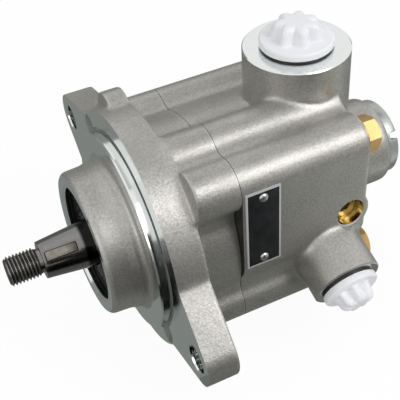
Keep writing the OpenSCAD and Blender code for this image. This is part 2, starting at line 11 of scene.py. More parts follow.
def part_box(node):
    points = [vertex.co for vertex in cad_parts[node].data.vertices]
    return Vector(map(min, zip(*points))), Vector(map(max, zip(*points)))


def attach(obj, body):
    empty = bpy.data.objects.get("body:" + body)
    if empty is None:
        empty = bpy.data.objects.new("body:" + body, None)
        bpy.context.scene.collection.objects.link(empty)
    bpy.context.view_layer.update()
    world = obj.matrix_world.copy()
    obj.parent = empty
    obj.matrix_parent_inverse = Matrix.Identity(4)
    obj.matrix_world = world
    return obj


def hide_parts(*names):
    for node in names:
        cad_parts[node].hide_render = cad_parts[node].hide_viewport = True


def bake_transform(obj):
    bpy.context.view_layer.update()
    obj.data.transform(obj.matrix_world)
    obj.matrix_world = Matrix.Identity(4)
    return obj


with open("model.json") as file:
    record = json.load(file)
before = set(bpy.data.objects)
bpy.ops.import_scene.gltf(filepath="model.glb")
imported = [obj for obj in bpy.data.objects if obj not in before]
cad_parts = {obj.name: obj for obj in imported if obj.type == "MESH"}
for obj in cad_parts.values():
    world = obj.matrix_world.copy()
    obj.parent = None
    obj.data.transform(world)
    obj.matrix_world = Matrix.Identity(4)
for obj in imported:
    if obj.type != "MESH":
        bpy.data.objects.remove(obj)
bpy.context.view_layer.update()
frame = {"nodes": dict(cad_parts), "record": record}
scene = bpy.context.scene
MM = 0.001

# Main sizes of the pump, in millimetres
FLANGE_R = 50.0
FLANGE_T = 13.0
EAR_R = 10.5
EAR_SPAN = 63.0
EAR_ANGLE = 16.0
EAR_HOLE_R = 5.5
SPIGOT_R = 41.275
SPIGOT_H = 4.0
NOSE_X = -19.0
JOINT_X = 30.0
REAR_X = 84.4
SIDE_Y = -42.9
BOLTS = [(44, 41.8), (133.4, 47.5), (215, 39.8), (282, 39.5), (346, 39.5)]
SCREW_R = 4.0
SCREW_L = 70.5
WASHER_T = 1.6
RIVET_R = 1.9
INLET_X = 77.6
INLET_Z = 60.7
INLET_R = 21.2
OUTLET_AT = (68.8, -56.0, -16.368)
OUTLET_TILT = 20.0
OUTLET_R = 14.25
VALVE_Z = 1.0
VALVE_END = 115.6
GALLERY = (77.6, 6.9)
THREAD_X0 = -51.0
THREAD_END = -38.3

# Bores of the housings, in millimetres
NOSE_R = 31.0
NOSE_MOUTH_R = 24.6
BEARING_R = 23.5
BEARING_END = 1.8
BORE_RING_R = 24.0
CIRCLIP_R = 24.75
CIRCLIP_X0 = -14.1
CIRCLIP_X1 = -12.3
SEAL_R = 19.0
SEAL_END = 9.8
SHAFT_HOLE_R = 10.6
BUSH_R = 10.01
BUSH_END = 73.5
CARTRIDGE_R = 31.0
CARTRIDGE_X0 = 22.0
CARTRIDGE_X1 = 62.0
JOINT_SEAL_R = 33.2
JOINT_SEAL_END = 32.0
TAPPED_R = 4.01
CLEARANCE_R = 4.3
VALVE_R = 8.03
VALVE_START = 76.5
VALVE_SEAT_R = 10.01
VALVE_SEAT_X = 104.1
INLET_BORE_R = 12.0
INLET_FLOOR = 42.7
OUTLET_BORE_R = 8.25
OUTLET_DEPTH = 12.0
GALLERY_R = 6.0
GALLERY_DEPTH = 16.0

# Metal left on a casting at the housing joint, and a radius past every outline, in millimetres
JOINT_STOCK = 1.6
FAR_R = 75.0

# Finishes that a cut can leave on a casting; the second is painted shade
CUT_FINISHES = ("machined_aluminium", "bore_shade", "recess_aluminium", "cast_aluminium")
PAINTED_SHADE, RECESS, CAST = 1, 2, 3

# Angles in degrees: no sharp edge at all, nearly flat, and sharp enough to be eased
NEVER_SHARP = 180.0
NEARLY_FLAT = 0.6
EASED_ABOVE = 35.0

finish = {}


def polar(angle, radius):
    """Point in Y and Z at an angle from +Y."""
    a = math.radians(angle)
    return radius * math.cos(a), radius * math.sin(a)


def shaft_axis(y=0.0, z=0.0):
    """Lathe axis along X at a place in Y and Z, in millimetres."""
    return Matrix.Translation((0, y * MM, z * MM)) @ Matrix.Rotation(math.radians(90), 4, "Y")


TO_SIDE = Matrix.Rotation(math.radians(90), 4, "X")
INLET_LINE = Matrix.Translation((INLET_X * MM, 0, 0))
INLET_AXIS = Matrix.Translation((INLET_X * MM, 0, INLET_Z * MM))
GALLERY_AXIS = Matrix.Translation((GALLERY[0] * MM, 0, GALLERY[1] * MM)) @ TO_SIDE
OUTLET_AXIS = (Matrix.Translation([c * MM for c in OUTLET_AT])
               @ Matrix.Rotation(math.radians(90 + OUTLET_TILT), 4, "X"))

# Mesh helpers


def add_object(name, mesh):
    """New object at the origin holding the mesh."""
    piece = bpy.data.objects.new(name, mesh)
    scene.collection.objects.link(piece)
    return piece


def drop(piece):
    """Removes a helper object and its mesh."""
    mesh = piece.data
    bpy.data.objects.remove(piece)
    bpy.data.meshes.remove(mesh)


def dress(piece, label):
    """Gives a piece one finish."""
    piece.data.materials.clear()
    piece.data.materials.append(finish[label])


def plain_mesh(bm, name):
    """Mesh of the geometry built so far, which is freed."""
    mesh = bpy.data.meshes.new(name)
    bm.to_mesh(mesh)
    bm.free()
    return mesh


def shade(mesh, sharp):
    """Smooth shading that breaks at edges above an angle."""
    mesh.shade_smooth()
    mesh.set_sharp_from_angle(angle=math.radians(sharp))


def built(bm, name, sharp):
    """Object with outward normals, smooth faces and sharp edges above an angle."""
    bmesh.ops.recalc_face_normals(bm, faces=bm.faces[:])
    mesh = plain_mesh(bm, name)
    shade(mesh, sharp)
    return add_object(name, mesh)


def evaluated(piece, name):
    """Plain mesh object that takes the place of a piece and its modifiers."""
    bpy.context.view_layer.update()
    result = piece.evaluated_get(bpy.context.evaluated_depsgraph_get())
    mesh = bpy.data.meshes.new_from_object(result)
    drop(piece)
    mesh.name = name
    return add_object(name, mesh)


def applied(piece, name, sharp):
    """Plain mesh object in place of a piece, with smooth shading that breaks above an angle."""
    done = evaluated(piece, name)
    shade(done.data, sharp)
    return done


def bridge(bm, rings):
    """Adds the faces between each closed ring of points and the next."""
    for low, high in zip(rings, rings[1:]):
        for i in range(len(low)):
            j = (i + 1) % len(low)
            bm.faces.new((low[i], low[j], high[j], high[i]))


def close_end(bm, ring, centre):
    """Adds a fan of faces from a ring of points to a centre."""
    hub = bm.verts.new(centre)
    for i in range(len(ring)):
        bm.faces.new((ring[i], ring[(i + 1) % len(ring)], hub))


def add_lathe(bm, profile, axis, segments=128):
    """Adds a closed turned body.

    Profile points are (radius, station) in millimetres, in order round the section.
    """
    rings = []
    for radius, station in profile:
        if radius < 1e-6:
            rings.append([bm.verts.new(axis @ Vector((0, 0, station * MM)))])
            continue
        ring = []
        for i in range(segments):
            a = 2 * math.pi * i / segments
            spot = Vector((radius * MM * math.cos(a), radius * MM * math.sin(a), station * MM))
            ring.append(bm.verts.new(axis @ spot))
        rings.append(ring)
    faces = []
    for k, ring in enumerate(rings):
        after = rings[(k + 1) % len(rings)]
        if len(ring) == 1 and len(after) == 1:
            continue
        for i in range(segments):
            j = (i + 1) % segments
            if len(ring) == 1:
                corners = (ring[0], after[j], after[i])
            elif len(after) == 1:
                corners = (ring[i], ring[j], after[0])
            else:
                corners = (ring[i], ring[j], after[j], after[i])
            faces.append(bm.faces.new(corners))
    bmesh.ops.recalc_face_normals(bm, faces=faces)
    return faces


def rod(start, end, radius):
    """Profile of a plain round bar."""
    return [(0, start), (radius, start), (radius, end), (0, end)]


def add_prism(bm, outline, x0, x1):
    """Adds an extrusion along X of an outline in Y and Z, in millimetres."""
    low = [bm.verts.new((x0 * MM, y * MM, z * MM)) for y, z in outline]
    high = [bm.verts.new((x1 * MM, y * MM, z * MM)) for y, z in outline]
    faces = [bm.faces.new(low), bm.faces.new(high[::-1])]
    for i in range(len(low)):
        j = (i + 1) % len(low)
        faces.append(bm.faces.new((low[i], low[j], high[j], high[i])))
    bmesh.ops.recalc_face_normals(bm, faces=faces)
    return faces


def paint(faces, index, test=None):
    """Gives the faces of a cutter, or those whose middle passes a test, one of the cut finishes."""
    for face in faces:
        if test is None or test(face.calc_center_median()):
            face.material_index = index


def node_bmesh(node):
    """Welded copy of a node's mesh."""
    copy = frame["nodes"][node].data.copy()
    stored = copy.attributes.get("custom_normal")
    if stored:
        copy.attributes.remove(stored)
    bm = bmesh.new()
    bm.from_mesh(copy)
    bpy.data.meshes.remove(copy)
    bmesh.ops.remove_doubles(bm, verts=bm.verts[:], dist=2e-6)
    return bm


def cut_off(bm, point, normal):
    """Keeps what lies ahead of a plane and closes the cut."""
    bmesh.ops.bisect_plane(bm, geom=bm.verts[:] + bm.edges[:] + bm.faces[:], dist=1e-7,
                           plane_co=point, plane_no=normal, clear_inner=True)
    bmesh.ops.holes_fill(bm, edges=[e for e in bm.edges if e.is_boundary], sides=0)


def add_joint_stock(bm, node, keep_x, toward, shift):
    """Adds a node's end at the housing joint, pushed past the joint so that it can be faced off sharp."""
    end = node_bmesh(node)
    cut_off(end, (keep_x * MM, 0, 0), (toward, 0, 0))
    bmesh.ops.translate(end, verts=end.verts[:], vec=(shift * MM, 0, 0))
    mesh = plain_mesh(end, "joint_stock")
    bm.from_mesh(mesh)
    bpy.data.meshes.remove(mesh)


def voxel_skin(bm, name, voxel):
    """Even, closed skin over the bodies built so far."""
    raw = add_object(name + "_raw", plain_mesh(bm, name + "_raw"))
    remesh = raw.modifiers.new("skin", "REMESH")
    remesh.mode = "VOXEL"
    remesh.voxel_size = voxel * MM
    return applied(raw, name, NEVER_SHARP)


def soften(mesh, rounds, fillet_rounds, tight=None):
    """Rounds every edge of a dense mesh a little, then fills its hollow corners with larger fillets.

    Tight names a region, by a function of the points in millimetres, where the fillets stay small.
    """
    full_share, tight_share, refresh = 0.5, 0.12, 10
    count = len(mesh.vertices)
    co = np.empty(count * 3)
    mesh.vertices.foreach_get("co", co)
    co = co.reshape(-1, 3)
    edges = np.empty(len(mesh.edges) * 2, dtype=np.int64)
    mesh.edges.foreach_get("vertices", edges)
    a, b = edges.reshape(-1, 2).T
    degree = np.maximum(np.bincount(a, minlength=count) + np.bincount(b, minlength=count), 1)
    share = np.full(count, full_share)
    if tight:
        share[tight(co / MM)] = tight_share

    def pull(points):
        total = np.empty_like(points)
        for k in range(3):
            total[:, k] = (np.bincount(a, weights=points[b, k], minlength=count)
                           + np.bincount(b, weights=points[a, k], minlength=count))
        return total / degree[:, None] - points

    for _ in range(rounds):
        co += full_share * pull(co)
    for step in range(fillet_rounds):
        if step % refresh == 0:
            mesh.vertices.foreach_set("co", co.ravel())
            mesh.update()
            normal = np.empty(count * 3)
            mesh.vertex_normals.foreach_get("vector", normal)
            normal = normal.reshape(-1, 3)
        outward = np.einsum("ij,ij->i", pull(co), normal)
        co += (share * np.maximum(outward, 0))[:, None] * normal
    mesh.vertices.foreach_set("co", co.ravel())
    mesh.update()


def casting(name, node, stock, cutters, voxel, fillet_rounds, tight):
    """Casting made as the real one is: a soft skin over the node with its holes filled, then machined."""
    bm = node_bmesh(node)
    stock(bm)
    skin = voxel_skin(bm, name + "_skin", voxel)
    soften(skin.data, 3, fillet_rounds, tight)
    dress(skin, "cast_aluminium")
    tools = []
    for make in cutters:
        bm = bmesh.new()
        make(bm)
        tool = add_object(make.__name__, plain_mesh(bm, make.__name__))
        for label in CUT_FINISHES:
            tool.data.materials.append(finish[label])
        tools.append(tool)
        cut = skin.modifiers.new(make.__name__, "BOOLEAN")
        cut.operation = "DIFFERENCE"
        cut.solver = "EXACT"
        cut.object = tool
        cut.material_mode = "TRANSFER"
    done = applied(skin, name + "_cut", 32)
    for tool in tools:
        drop(tool)
    even = done.modifiers.new("even", "WEIGHTED_NORMAL")
    even.keep_sharp = True
    even.weight = 90
    return evaluated(done, name)


def eased(name, bm, width, label, rim=None, sharp=40):
    """Object with its sharp edges eased, which may show a finish of their own."""
    bmesh.ops.dissolve_limit(bm, angle_limit=math.radians(NEARLY_FLAT), verts=bm.verts[:],
                             edges=bm.edges[:], delimit={"NORMAL"})
    piece = add_object(name + "_raw", plain_mesh(bm, name + "_raw"))
    dress(piece, label)
    ease = piece.modifiers.new("ease", "BEVEL")
    ease.width = width * MM
    ease.segments = 2
    ease.limit_method = "ANGLE"
    ease.angle_limit = math.radians(EASED_ABOVE)
    if rim:
        piece.data.materials.append(finish[rim])
        ease.material = 1
    return applied(piece, name, sharp)


# Node helpers


def feed(tree, entry, value):
    """Links a socket to an entry, or sets the entry to a colour or number."""
    if isinstance(value, bpy.types.NodeSocket):
        tree.links.new(value, entry)
    elif isinstance(value, tuple):
        entry.default_value = (*value, 1)
    else:
        entry.default_value = value


def math_node(tree, kind, *values):
    """Math node fed by sockets or numbers, returning its output."""
    node = tree.nodes.new("ShaderNodeMath")
    node.operation = kind
    for entry, value in zip(node.inputs, values):
        feed(tree, entry, value)
    return node.outputs[0]


def noise(tree, vector, scale, detail=2.0, rough=0.5):
    """Noise texture on a vector, returning its value."""
    node = tree.nodes.new("ShaderNodeTexNoise")
    for label, value in (("Vector", vector), ("Scale", scale), ("Detail", detail), ("Roughness", rough)):
        feed(tree, node.inputs[label], value)
    return node.outputs["Fac"]


def remap(tree, value, low, high, to_low=0.0, to_high=1.0):
    """Linear change of a value from one range to another, held at the ends."""
    node = tree.nodes.new("ShaderNodeMapRange")
    for label, entry in (("Value", value), ("From Min", low), ("From Max", high), ("To Min", to_low),
                         ("To Max", to_high)):
        feed(tree, node.inputs[label], entry)
    return node.outputs[0]


def object_place(tree):
    """Object coordinates as a vector."""
    return tree.nodes.new("ShaderNodeTexCoord").outputs["Object"]


def split(tree, vector):
    """X, Y and Z of a vector."""
    parts = tree.nodes.new("ShaderNodeSeparateXYZ")
    tree.links.new(vector, parts.inputs[0])
    return parts.outputs


def off_shaft(tree, xyz):
    """Distance from the shaft axis."""
    squares = [math_node(tree, "MULTIPLY", xyz[axis], xyz[axis]) for axis in "YZ"]
    return math_node(tree, "SQRT", math_node(tree, "ADD", *squares))


def seen_or_mirrored(tree):
    """One for rays from the camera, a mirror or glass, and nought for those that light the part."""
    path = tree.nodes.new("ShaderNodeLightPath").outputs
    mirrored = math_node(tree, "MAXIMUM", path["Is Glossy Ray"], path["Is Transmission Ray"])
    return math_node(tree, "MAXIMUM", path["Is Camera Ray"], mirrored)


# Shader groups that several finishes share


def start_group(name, inputs, outputs):
    """Empty shader group with float inputs and outputs."""
    tree = bpy.data.node_groups.new(name, "ShaderNodeTree")
    for label, value in inputs:
        entry = tree.interface.new_socket(name=label, in_out="INPUT", socket_type="NodeSocketFloat")
        entry.default_value = value
    for label in outputs:
        tree.interface.new_socket(name=label, in_out="OUTPUT", socket_type="NodeSocketFloat")
    return tree, tree.nodes.new("NodeGroupInput").outputs, tree.nodes.new("NodeGroupOutput").inputs


def build_cast_grain():
    """Sand grain with a broad mottle under it."""
    tree, given, out = start_group("cast_grain", [("Grain scale", 1400.0), ("Mottle scale", 90.0)],
                                   ["Grain", "Mottle", "Height"])
    where = object_place(tree)
    grain = noise(tree, where, given["Grain scale"], 3.0, 0.65)
    mottle = noise(tree, where, given["Mottle scale"], 4.0, 0.6)
    pits = noise(tree, where, math_node(tree, "MULTIPLY", given["Grain scale"], 0.35))
    height = math_node(tree, "ADD", math_node(tree, "MULTIPLY", grain, 0.55),
                       math_node(tree, "MULTIPLY", pits, 0.6))
    for label, value in (("Grain", grain), ("Mottle", mottle), ("Height", height)):
        tree.links.new(value, out[label])
    return tree


def build_turning_marks():
    """Fine tool rings about the shaft axis, on faces and on diameters."""
    tree, given, out = start_group("turning_marks", [("Pitch", 0.0004)], ["Rings", "Height"])
    where = object_place(tree)
    xyz = split(tree, where)
    path = math_node(tree, "ADD", off_shaft(tree, xyz), xyz["X"])
    turns = math_node(tree, "DIVIDE", path, given["Pitch"])
    wander = noise(tree, where, 60.0)
    phase = math_node(tree, "MULTIPLY", math_node(tree, "ADD", turns, wander), 2 * math.pi)
    rings = math_node(tree, "MULTIPLY_ADD", math_node(tree, "SINE", phase), 0.5, 0.5)
    streak = noise(tree, where, 700.0)
    tree.links.new(math_node(tree, "MULTIPLY", rings, streak), out["Rings"])
    tree.links.new(rings, out["Height"])
    return tree


def build_edge_wear():
    """Masks of worn outer edges and of painted shade in hollow corners."""
    tree, given, out = start_group("edge_wear_and_corner_shade", [("Amount", 1.0)], ["Edge", "Corner shade"])
    point = tree.nodes.new("ShaderNodeNewGeometry").outputs["Pointiness"]
    patch = noise(tree, object_place(tree), 180.0, 3.0, 0.6)
    edge = math_node(tree, "MULTIPLY", remap(tree, point, 0.51, 0.58), patch)
    # Painted shade: a mask that darkens hollow corners, where the pointiness is low
    corner_shade = remap(tree, point, 0.49, 0.42)
    for label, mask in (("Edge", edge), ("Corner shade", corner_shade)):
        tree.links.new(math_node(tree, "MULTIPLY", mask, given["Amount"]), out[label])
    return tree


def build_smudge():
    """Uneven sheen left by oil and handling."""
    tree, given, out = start_group("smudge", [("Scale", 40.0), ("Low", 0.3), ("High", 0.5)],
                                   ["Roughness", "Tone"])
    broad = noise(tree, object_place(tree), given["Scale"], 5.0, 0.6)
    tree.links.new(remap(tree, broad, 0.3, 0.7, given["Low"], given["High"]), out["Roughness"])
    tree.links.new(broad, out["Tone"])
    return tree


groups = {"grain": build_cast_grain(), "turning": build_turning_marks(), "wear_and_corner_shade": build_edge_wear(),
          "smudge": build_smudge()}

# Finishes


class Finish:
    """Material under construction: a Principled shader with helpers for its inputs."""

    def __init__(self, name, metallic, roughness, colour):
        self.material = bpy.data.materials.new(name)
        self.material.use_nodes = True
        self.material.diffuse_color = (*colour, 1)
        self.tree = self.material.node_tree
        self.shader = self.tree.nodes["Principled BSDF"]
        self.put("Metallic", metallic)
        self.put("Roughness", roughness)
        self.put("Base Color", colour)
        self.tone = colour
        finish[name] = self.material

    def put(self, label, value):
        """Feeds an input of the shader."""
        feed(self.tree, self.shader.inputs[label], value)

    def use(self, key, **values):
        """Places a shared group with its own values."""
        node = self.tree.nodes.new("ShaderNodeGroup")
        node.node_tree = groups[key]
        for label, value in values.items():
            node.inputs[label.replace("_", " ")].default_value = value
        return node.outputs

    def mix(self, factor, first, second):
        """Colour mix by a mask. Colours are tuples or sockets."""
        node = self.tree.nodes.new("ShaderNodeMix")
        node.data_type = "RGBA"
        for index, value in ((0, factor), (6, first), (7, second)):
            feed(self.tree, node.inputs[index], value)
        return node.outputs[2]

    def range(self, value, low, high, to_low=0.0, to_high=1.0):
        """Linear remap of a value."""
        return remap(self.tree, value, low, high, to_low, to_high)

    def paint(self, factor, first, second):
        """Makes a mix of two colours the base colour."""
        self.tone = self.mix(factor, first, second)
        self.put("Base Color", self.tone)

    def smudge(self, scale, low, high):
        """Uneven sheen, used as the roughness."""
        sheen = self.use("smudge", Scale=scale, Low=low, High=high)
        self.put("Roughness", sheen["Roughness"])
        return sheen

    def bump(self, height, distance, strength):
        """Fine relief on the surface."""
        node = self.tree.nodes.new("ShaderNodeBump")
        for label, value in (("Distance", distance), ("Strength", strength), ("Height", height)):
            feed(self.tree, node.inputs[label], value)
        self.put("Normal", node.outputs["Normal"])


def turned(name, plain, pitch, sheen, tones, relief):
    """Turned metal: tool rings between two tones, under an uneven sheen."""
    f = Finish(name, *plain)
    rings = f.use("turning", Pitch=pitch)
    f.paint(rings["Rings"], *tones)
    f.smudge(*sheen)
    f.bump(rings["Height"], *relief)
    return f


def grained(name, plain, grain_scale, mottle_scale, tones, relief):
    """Grained surface: a mottle of two tones over a fine relief. Returns the grain as well."""
    f = Finish(name, *plain)
    grain = f.use("grain", Grain_scale=grain_scale, Mottle_scale=mottle_scale)
    f.paint(f.range(grain["Mottle"], 0.3, 0.7), *tones)
    f.bump(grain["Height"], *relief)
    return f, grain


def smudged(name, plain, sheen, spread, tones, worn=None):
    """Smooth surface with an uneven sheen in two tones. Worn is the amount and colour of bare edges."""
    f = Finish(name, *plain)
    f.paint(f.range(f.smudge(*sheen)["Tone"], *spread), *tones)
    if worn:
        amount, colour = worn
        f.paint(f.use("wear_and_corner_shade", Amount=amount)["Edge"], f.tone, colour)
    return f


def make_cast_aluminium():
    """Sand-cast skin with bright worn edges and painted shade in its hollow corners."""
    f, grain = grained("cast_aluminium", (0.8, 0.42, (0.36, 0.352, 0.333)), 1350.0, 70.0,
                       ((0.328, 0.323, 0.302), (0.41, 0.402, 0.374)), (0.0002, 0.6))
    wear_and_corner_shade = f.use("wear_and_corner_shade", Amount=0.7)
    f.paint(f.range(grain["Grain"], 0.38, 0.66, 0.0, 0.8), f.tone, (0.555, 0.538, 0.505))
    f.paint(wear_and_corner_shade["Edge"], f.tone, (0.6, 0.59, 0.57))
    # Painted shade: hollow corners darkened towards near black
    f.paint(wear_and_corner_shade["Corner shade"], f.tone, (0.10, 0.096, 0.088))
    f.smudge(55.0, 0.36, 0.47)


def make_dark_steel():
    """Turned dark steel, with painted shade that turns it black from the nose bore inward."""
    f = turned("dark_steel", (1.0, 0.26, (0.30, 0.295, 0.285)), 0.0004, (90.0, 0.13, 0.24),
               ((0.20, 0.197, 0.19), (0.28, 0.275, 0.265)), (0.00001, 0.2))
    along = split(f.tree, object_place(f.tree))["X"]
    # Painted shade: black from the nose bore inward, where the bore shades the shaft
    f.paint(f.range(along, -0.0212, -0.0200), f.tone, (0.014, 0.014, 0.013))


def make_thread_steel():
    """Thread with painted shade in its roots."""
    f = smudged("thread_steel", (0.95, 0.3, (0.25, 0.245, 0.235)), (300.0, 0.24, 0.4), (0.3, 0.7),
                ((0.27, 0.26, 0.245), (0.40, 0.385, 0.36)))
    radius = off_shaft(f.tree, split(f.tree, object_place(f.tree)))
    # Painted shade: near black below a radius, in the roots of the thread
    f.paint(f.range(radius, 0.00505, 0.0056), (0.06, 0.058, 0.054), f.tone)


def make_black_plate():
    """Black face with a bare border along the rim of the plate."""
    border = 0.00075
    f, grain = grained("black_plate", (0.2, 0.4, (0.012, 0.013, 0.014)), 2600.0, 220.0,
                       ((0.010, 0.011, 0.012), (0.022, 0.023, 0.025)), (0.00002, 0.3))
    f.put("Specular IOR Level", 0.25)
    f.put("Roughness", f.range(grain["Mottle"], 0.2, 0.8, 0.34, 0.5))
    xyz = split(f.tree, object_place(f.tree))
    low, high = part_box("nameplate")
    masks = []
    for axis, index in (("X", 0), ("Z", 2)):
        middle = (low[index] + high[index]) / 2
        half = (high[index] - low[index]) / 2
        off = math_node(f.tree, "ABSOLUTE", math_node(f.tree, "SUBTRACT", xyz[axis], middle))
        masks.append(math_node(f.tree, "GREATER_THAN", off, half - border))
    f.paint(math_node(f.tree, "MAXIMUM", *masks), f.tone, (0.50, 0.51, 0.51))


make_cast_aluminium()
make_dark_steel()
make_thread_steel()
make_black_plate()
turned("machined_aluminium", (1.0, 0.26, (0.78, 0.80, 0.79)), 0.0005, (70.0, 0.10, 0.18),
       ((0.75, 0.775, 0.76), (0.83, 0.85, 0.84)), (0.00001, 0.2))
# Painted shade: a near-black turned finish for the bore, the bearings in it, the rear joint face and the
# key's eased rim
turned("bore_shade", (0.6, 0.35, (0.03, 0.03, 0.03)), 0.0007, (120.0, 0.25, 0.45),
       ((0.018, 0.018, 0.018), (0.10, 0.10, 0.097)), (0.00004, 0.4))
turned("bright_steel", (0.95, 0.28, (0.58, 0.58, 0.57)), 0.0004, (80.0, 0.2, 0.36),
       ((0.50, 0.50, 0.50), (0.66, 0.66, 0.65)), (0.00002, 0.25))
# Painted light: a lighter, less metallic copy of the aluminium that lifts the shade in recesses, pockets and
# grooves
recess, recess_grain = grained("recess_aluminium", (0.3, 0.6, (0.33, 0.335, 0.315)), 1700.0, 90.0,
                               ((0.40, 0.41, 0.385), (0.50, 0.51, 0.485)), (0.00012, 0.5))
recess.put("Roughness", recess.range(recess_grain["Grain"], 0.2, 0.8, 0.5, 0.7))
grained("key_steel", (0.6, 0.42, (0.3, 0.28, 0.24)), 2200.0, 500.0,
        ((0.19, 0.175, 0.15), (0.31, 0.285, 0.25)), (0.00004, 0.4))
grained("bronze", (0.9, 0.38, (0.55, 0.37, 0.19)), 2500.0, 250.0,
        ((0.44, 0.29, 0.14), (0.62, 0.44, 0.24)), (0.00003, 0.3))
rubber, _ = grained("black_rubber", (0.0, 0.55, (0.012, 0.012, 0.012)), 3000.0, 200.0,
                    ((0.008, 0.008, 0.008), (0.022, 0.022, 0.021)), (0.00003, 0.3))
rubber.smudge(150.0, 0.42, 0.65)
smudged("zinc_steel", (0.7, 0.36, (0.55, 0.58, 0.57)), (120.0, 0.28, 0.46), (0.35, 0.65),
        ((0.34, 0.37, 0.35), (0.50, 0.53, 0.51)), (0.5, (0.8, 0.81, 0.8)))
smudged("yellow_zinc", (0.85, 0.3, (0.75, 0.50, 0.18)), (160.0, 0.34, 0.5), (0.35, 0.65),
        ((0.38, 0.21, 0.058), (0.54, 0.32, 0.105)), (0.8, (0.85, 0.62, 0.30)))
smudged("brass", (0.95, 0.25, (0.70, 0.50, 0.16)), (200.0, 0.18, 0.34), (0.35, 0.65),
        ((0.30, 0.165, 0.027), (0.52, 0.31, 0.066)))
plastic = smudged("white_plastic", (0.0, 0.38, (0.82, 0.83, 0.89)), (60.0, 0.32, 0.46), (0.3, 0.7),
                  ((0.89, 0.90, 0.94), (0.93, 0.935, 0.96)))
plastic.put("Subsurface Weight", 0.15)
plastic.shader.inputs["Subsurface Radius"].default_value = (0.002, 0.002, 0.002)

# Nodes that stay as they are take the finish of their material slot
slot_of = {row["node"]: row["material_slot"] for row in frame["record"]["subparts"]}
# Bearing parts in the nose bore take painted shade; the circlip stays bright steel
in_bore = {node: "bore_shade" for node in slot_of if node.startswith("bearing_")}
in_bore["bearing_circlip"] = "bright_steel"
for node, piece in frame["nodes"].items():
    for place in piece.material_slots:
        place.material = finish[in_bore.get(node, slot_of[node])]


def settle(piece, body, slot, *nodes):
    """Attaches a finished piece to its body and hides the nodes it stands for. Its material slot is not used.
    """
    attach(piece, body)
    if nodes:
        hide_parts(*nodes)


# Castings


def ear_outline(angle):
    """Outline of one ear from the flange's round part to its rounded end, turned to its angle."""
    root, steps = 41.0, 24
    lean = math.acos((root - EAR_R) / EAR_SPAN)
    points = [(root * math.cos(lean), -root * math.sin(lean))]
    for i in range(steps + 1):
        a = -lean + 2 * lean * i / steps
        points.append((EAR_SPAN + EAR_R * math.cos(a), EAR_R * math.sin(a)))
    points.append((root * math.cos(lean), root * math.sin(lean)))
    c, s = math.cos(math.radians(angle)), math.sin(math.radians(angle))
    return [(y * c - z * s, y * s + z * c) for y, z in points]


def front_stock(bm):
    """Fills the holes of the front housing and leaves extra metal where it is machined."""
    axis = shaft_axis()
    face_stock, joint_end = -1.4, JOINT_X + 1.5
    add_joint_stock(bm, "front_housing", JOINT_X - 6.0, 1, JOINT_STOCK)
    add_lathe(bm, rod(NOSE_X - 1.2, joint_end, 27.6), axis)
    add_lathe(bm, rod(20.0, joint_end, CARTRIDGE_R + 0.6), axis)
    add_lathe(bm, rod(face_stock, 6.0, FLANGE_R), axis)
    add_lathe(bm, rod(-SPIGOT_H - 0.9, 1.0, SPIGOT_R + 0.9), axis)
    for side in (0, 180):
        add_prism(bm, ear_outline(EAR_ANGLE + side), face_stock, FLANGE_T - 0.02)
    for place in BOLTS:
        add_lathe(bm, rod(FLANGE_T, joint_end, 4.4), shaft_axis(*polar(*place)), 32)


def front_turning(bm):
    """Cuts of the lathe: spigot, flange face with its relief, foot of the nose and the stepped bore."""
    axis = shaft_axis()
    foot_r, foot_arc, ease = 33.5, 2.4, 0.6
    relief = [(SPIGOT_R - ease, 1.1), (SPIGOT_R + 1.1, 1.1), (SPIGOT_R + 1.5, 0.7), (SPIGOT_R + 1.5, 0)]
    outside = [(95, 0), (95, -8), (NOSE_R, -8)]
    foot = []
    for i in range(10):
        a = math.radians(10 * i)
        foot.append((foot_r - foot_arc * math.cos(a), -SPIGOT_H - foot_arc + foot_arc * math.sin(a)))
    spigot = [(SPIGOT_R - ease, -SPIGOT_H), (SPIGOT_R, -SPIGOT_H + ease), (SPIGOT_R, 0),
              (SPIGOT_R - ease, 0)]
    faces = add_lathe(bm, relief + outside + foot + spigot, axis, 192)
    paint(faces, RECESS, lambda p: p.x > 0.3 * MM)
    paint(faces, CAST, lambda p: p.x < (-SPIGOT_H - 0.02) * MM and math.hypot(p.y, p.z) < 34 * MM)
    face_r, ahead = 29.6, NOSE_X - 3
    bore = [(0, ahead), (face_r, ahead), (face_r, NOSE_X), (NOSE_MOUTH_R, NOSE_X), (BEARING_R, NOSE_X + 1.1)]
    for x in (-17.3, -15.9):
        bore += [(BEARING_R, x), (BORE_RING_R, x + 0.3), (BORE_RING_R, x + 0.6), (BEARING_R, x + 0.9)]
    bore += [(BEARING_R, CIRCLIP_X0), (CIRCLIP_R, CIRCLIP_X0), (CIRCLIP_R, CIRCLIP_X1),
             (BEARING_R, CIRCLIP_X1), (BEARING_R, BEARING_END), (SEAL_R, BEARING_END), (SEAL_R, SEAL_END),
             (SHAFT_HOLE_R, SEAL_END), (SHAFT_HOLE_R, CARTRIDGE_X0), (CARTRIDGE_R, CARTRIDGE_X0),
             (CARTRIDGE_R, JOINT_X - ease), (CARTRIDGE_R + ease, JOINT_X), (FAR_R, JOINT_X),
             (FAR_R, JOINT_X + 6), (0, JOINT_X + 6)]
    # Bore walls from the bearing seat to the seal take painted shade
    paint(add_lathe(bm, bore, axis, 144), PAINTED_SHADE, lambda p: -17.8 * MM < p.x < 12 * MM)


